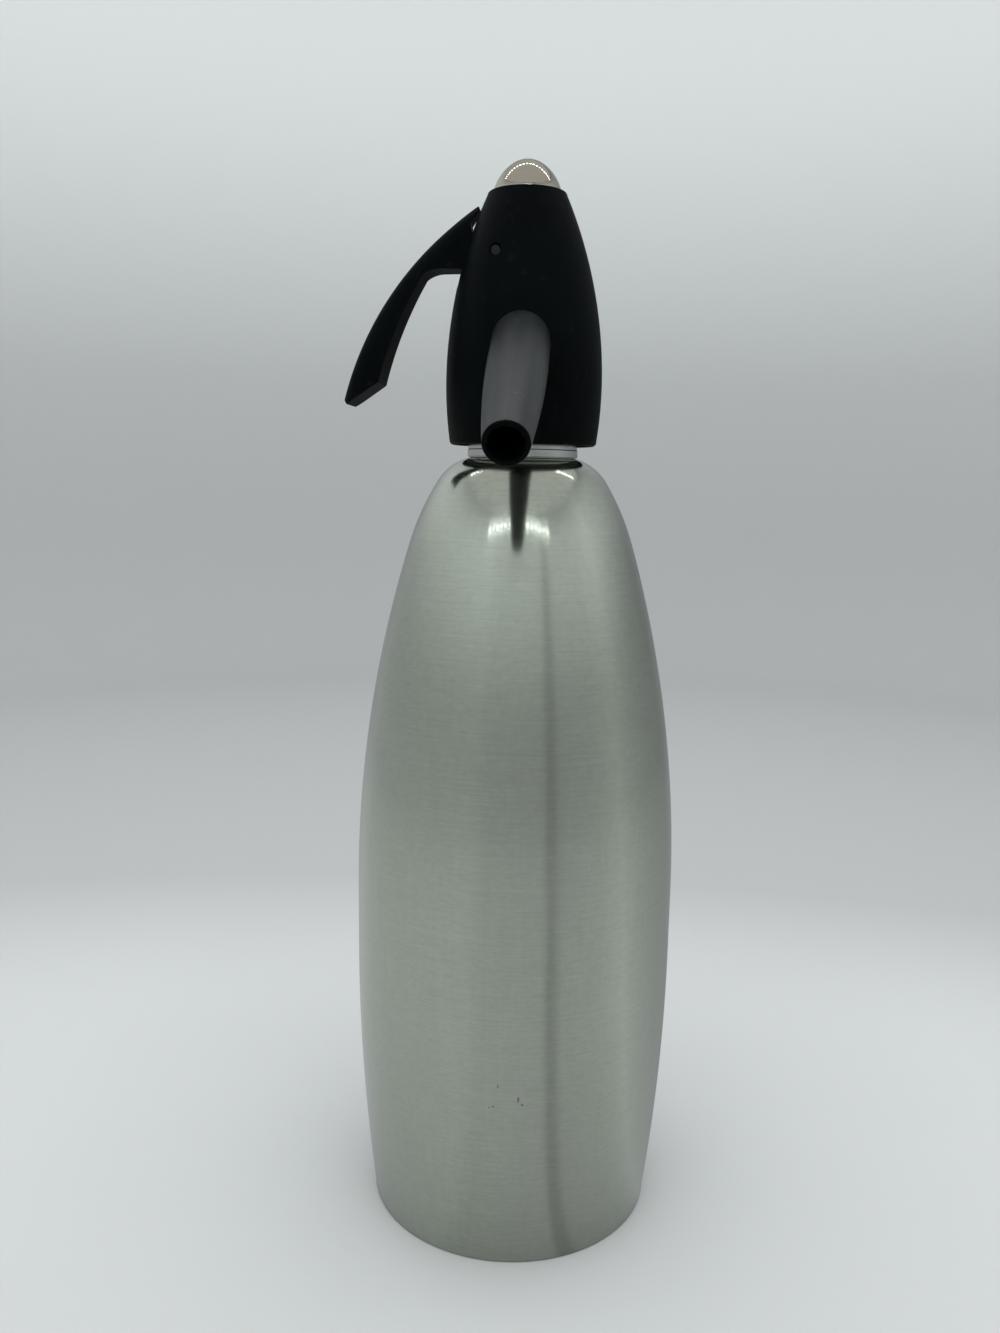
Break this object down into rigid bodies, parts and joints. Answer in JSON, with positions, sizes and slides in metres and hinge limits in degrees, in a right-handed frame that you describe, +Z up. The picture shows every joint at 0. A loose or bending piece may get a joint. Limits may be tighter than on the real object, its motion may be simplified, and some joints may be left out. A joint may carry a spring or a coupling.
{
  "type": "soda siphon",
  "caption": "Soda siphon: a steel bottle with a screw-on head that holds a lever-worked valve, a slanting spout and a gas charger holder.",
  "frame": {"origin": "centre of the bottle's resting ring, on the surface it stands on", "axes": "+Z up along the bottle's axis, -Y towards the spout, -X towards the lever, +Y towards the charger holder"},
  "size_m": [0.0992, 0.1681, 0.3091],
  "materials": {
    "bottle_steel": "satin steel, brushed round the bottle",
    "neck_steel": "turned steel, bright",
    "black_plastic": "black moulded plastic, satin",
    "spout_plastic": "dark grey moulded plastic",
    "core_plastic": "off-white moulded plastic",
    "tube_plastic": "milky plastic tube",
    "seal_rubber": "black rubber",
    "brass": "machined brass",
    "spring_steel": "drawn spring wire",
    "nose_chrome": "polished chrome plate",
    "pin_steel": "ground steel",
    "bulb_steel": "silver lacquered steel"
  },
  "bodies": {
    "bottle": {"bottle_base": "bottle_steel", "bottle_body": "bottle_steel", "bottle_shoulder": "bottle_steel", "neck_ring": "neck_steel"},
    "neck_seal": {"head_gasket": "seal_rubber"},
    "head": {"head_shell": "black_plastic", "threaded_collar": "brass", "head_core": "core_plastic", "riser_tube": "tube_plastic", "riser_ferrule": "core_plastic", "riser_seal": "seal_rubber", "valve_seat": "brass", "spring_retainer": "brass", "gland_body": "brass", "spindle_o_ring": "seal_rubber", "gland_nut": "brass", "valve_spring": "spring_steel", "nose_cap": "nose_chrome", "lever_pin": "pin_steel", "spout": "spout_plastic", "spout_seal": "seal_rubber", "charger_port": "brass", "check_ball": "pin_steel", "piercing_pin": "pin_steel", "charger_seal": "seal_rubber"},
    "lever": {"lever": "black_plastic"},
    "valve": {"valve_spindle": "brass", "valve_washer": "seal_rubber", "lift_collar": "brass"},
    "charger": {"charger_holder": "black_plastic", "charger_bulb": "bulb_steel"}
  },
  "joints": [
    {"name": "head_lift", "type": "slide", "parent": "bottle", "child": "neck_seal", "axis": [0, 0, 1], "range_m": [0, 0.26]},
    {"name": "head_turn", "type": "hinge", "parent": "neck_seal", "child": "head", "pos_m": [0, 0, 0.24], "axis": [0, 0, 1], "range_deg": [0, 720]},
    {"name": "lever_squeeze", "type": "hinge", "parent": "head", "child": "lever", "pos_m": [-0.0076, 0, 0.2825], "axis": [0, -1, 0], "range_deg": [0, 17], "stiffness_Nm_per_rad": 0.5, "springref_deg": -17.19},
    {"name": "valve_lift", "type": "slide", "parent": "head", "child": "valve", "axis": [0, 0, 1], "range_m": [0, 0.0023], "stiffness_N_per_m": 1, "springref_m": 0.05, "deforming": ["valve_spring"]},
    {"name": "charger_pull", "type": "slide", "parent": "head", "child": "charger", "axis": [0, 1, 0], "range_m": [0, 0.09]}
  ],
  "couplings": [
    {"joint": "valve_lift", "follows": "lever_squeeze", "m_per_rad": 0.0076}
  ]
}
